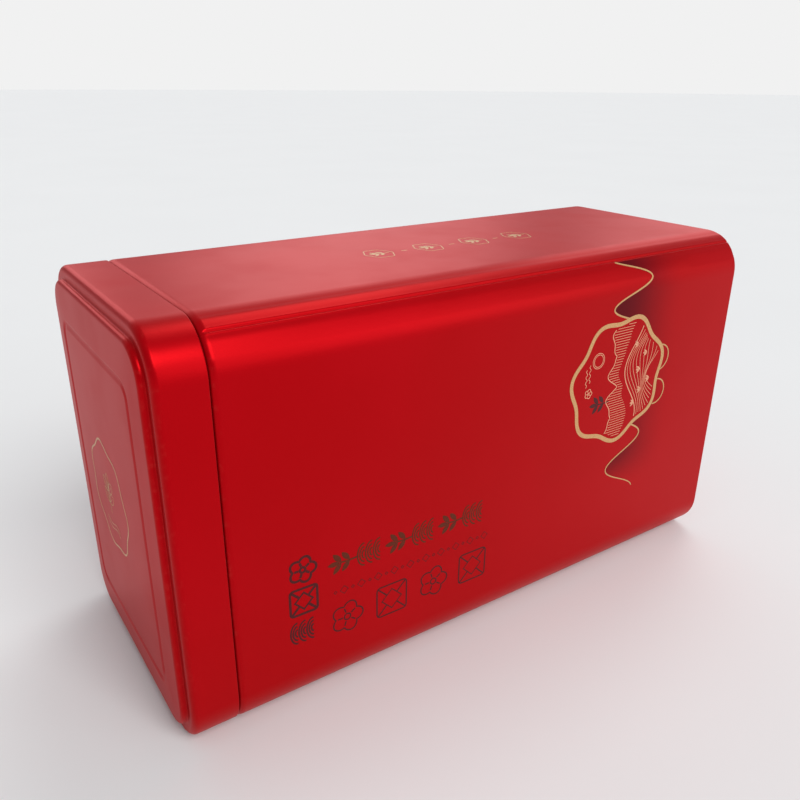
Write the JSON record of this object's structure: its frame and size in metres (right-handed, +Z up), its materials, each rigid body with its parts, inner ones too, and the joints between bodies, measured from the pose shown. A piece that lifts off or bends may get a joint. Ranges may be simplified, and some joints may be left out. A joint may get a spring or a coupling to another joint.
{
  "type": "printed tea tin",
  "caption": "Rectangular red printed tea tin with rounded edges, lying on its side, with a flush slip lid and a plug lid with a pull ring.",
  "frame": {"origin": "bottom centre of the bounding box, on the surface that the lying tin rests on", "axes": "+X from the lid to the base, +Y from the printed front to the back, +Z up"},
  "size_m": [0.194, 0.082, 0.109],
  "materials": {
    "red_print": "satin-gloss red litho print on tinplate",
    "bare_tinplate": "plain bright tinplate",
    "ring_wire": "bright plated steel wire",
    "gold_ink": "printed matt gold ink",
    "dark_ink": "printed dark maroon ink"
  },
  "bodies": {
    "tin": {"body_wrap": "red_print", "base_plate": "red_print", "neck_collar": "bare_tinplate"},
    "slip_lid": {"outer_lid": "red_print"},
    "plug_lid": {"inner_lid": "bare_tinplate", "ring_clip": "bare_tinplate"},
    "ring": {"pull_ring": "ring_wire"}
  },
  "joints": [
    {"name": "lid_slide", "type": "slide", "parent": "tin", "child": "slip_lid", "axis": [-1, 0, 0], "range_m": [0, 0.04]},
    {"name": "plug_slide", "type": "slide", "parent": "tin", "child": "plug_lid", "axis": [-1, 0, 0], "range_m": [0, 0.018]},
    {"name": "ring_lift", "type": "hinge", "parent": "plug_lid", "child": "ring", "pos_m": [-0.0873, 0, 0.0545], "axis": [0, 1, 0], "range_deg": [0, 90]}
  ],
  "couplings": [
    {"joint": "plug_slide", "follows": "lid_slide", "ratio": 0.45},
    {"joint": "ring_lift", "follows": "lid_slide", "rad_per_m": 39.2}
  ]
}
